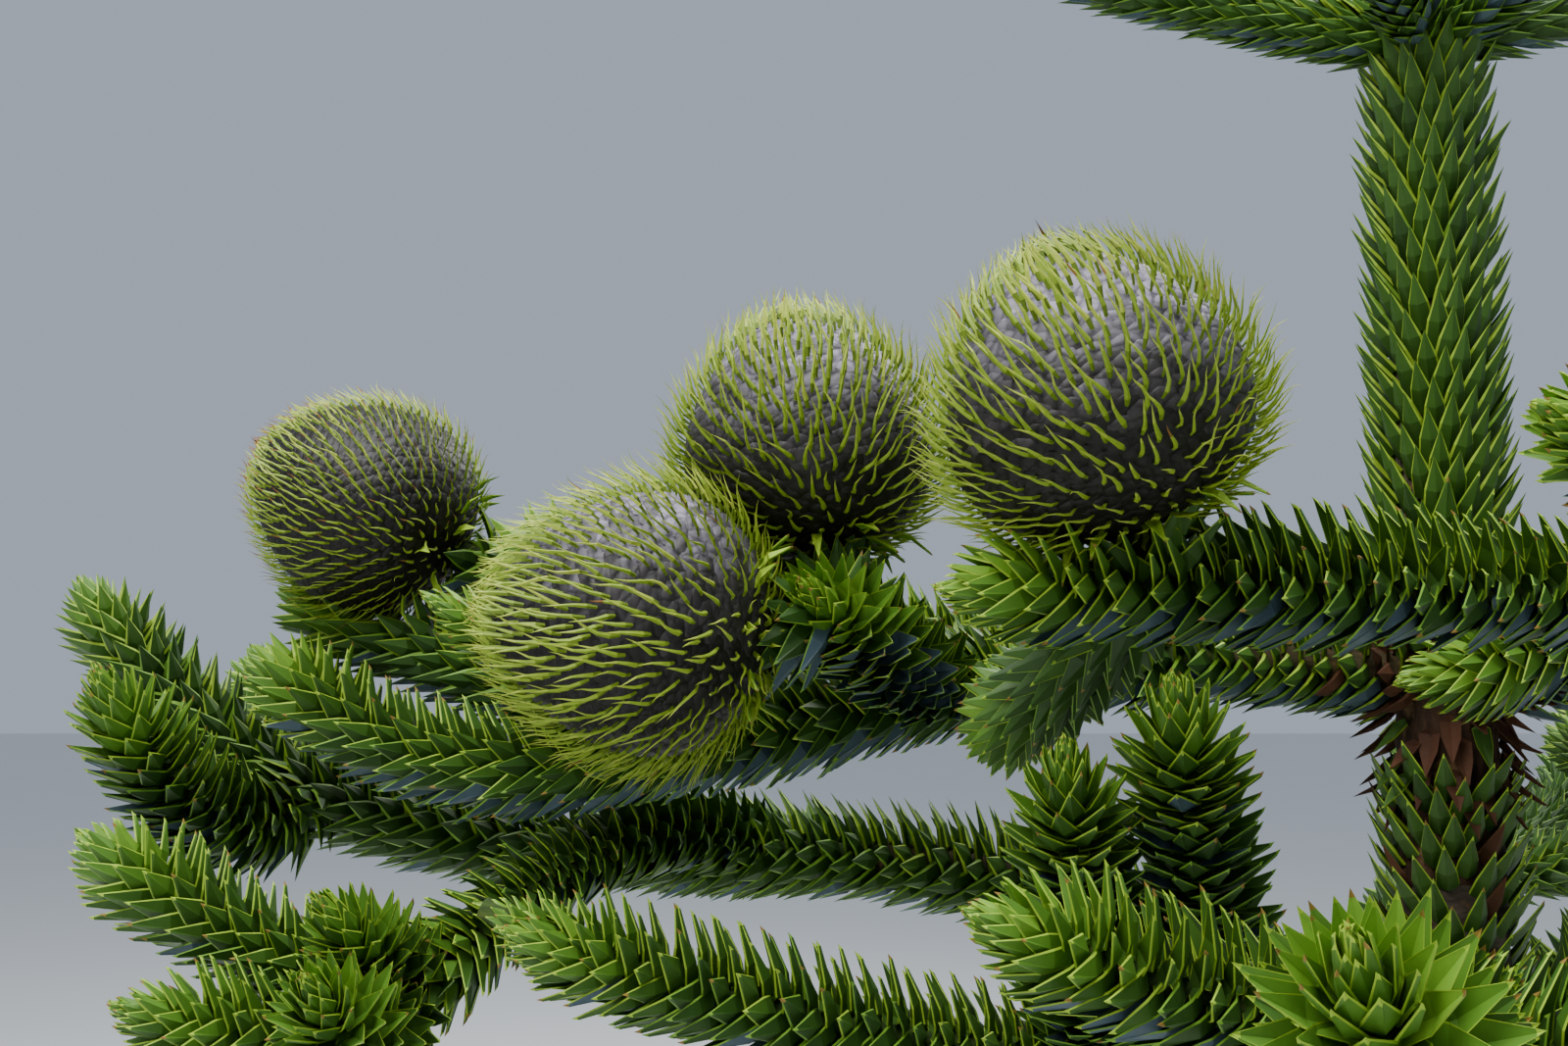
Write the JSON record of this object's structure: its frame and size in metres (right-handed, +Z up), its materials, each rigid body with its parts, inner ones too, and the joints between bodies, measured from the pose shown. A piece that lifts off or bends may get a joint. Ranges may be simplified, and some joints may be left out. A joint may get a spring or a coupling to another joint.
{
  "type": "monkey puzzle tree",
  "caption": "Young rooted monkey puzzle tree: straight tapered trunk, whorled boughs clad in stiff pointed leaves, and large spiny seed cones on the upper boughs.",
  "frame": {"origin": "centre of the flat cut under the trunk, at ground level", "axes": "+Z up along the trunk, +X to the right and +Y away from a viewer who stands on the side of the cones"},
  "size_m": [2.2074, 2.2367, 2.7665],
  "materials": {
    "bark": "rough ringed bark, grey-brown",
    "limb": "young bough clad in old leaf bases",
    "leaf": "stiff waxy leaf, satin, with a pale margin",
    "cone": "waxy dark scales with yellow-green awns"
  },
  "bodies": {
    "root": {"trunk": "bark", "cone_1": "cone", "cone_2": "cone", "cone_3": "cone", "cone_4": "cone", "bough_1a": "limb", "bough_1b": "limb", "bough_1c": "limb", "bough_1d": "limb", "bough_1e": "limb", "bough_2a": "limb", "bough_2b": "limb", "bough_2c": "limb", "bough_2d": "limb", "bough_2e": "limb", "bough_3a": "limb", "bough_3b": "limb", "bough_3c": "limb", "bough_3d": "limb", "bough_3e": "limb", "bough_4a": "limb", "bough_4b": "limb", "bough_4c": "limb", "bough_4d": "limb", "bough_4e": "limb", "foliage_1a": "leaf", "foliage_1b": "leaf", "foliage_1c": "leaf", "foliage_1d": "leaf", "foliage_1e": "leaf", "foliage_2a": "leaf", "foliage_2b": "leaf", "foliage_2c": "leaf", "foliage_2d": "leaf", "foliage_2e": "leaf", "foliage_3a": "leaf", "foliage_3b": "leaf", "foliage_3c": "leaf", "foliage_3d": "leaf", "foliage_3e": "leaf", "foliage_4a": "leaf", "foliage_4b": "leaf", "foliage_4c": "leaf", "foliage_4d": "leaf", "foliage_4e": "leaf", "foliage_5a": "leaf", "foliage_5b": "leaf", "foliage_5c": "leaf", "foliage_5d": "leaf", "foliage_5e": "leaf", "foliage_6a": "leaf", "foliage_6b": "leaf", "foliage_6c": "leaf", "foliage_6d": "leaf"}
  },
  "joints": []
}
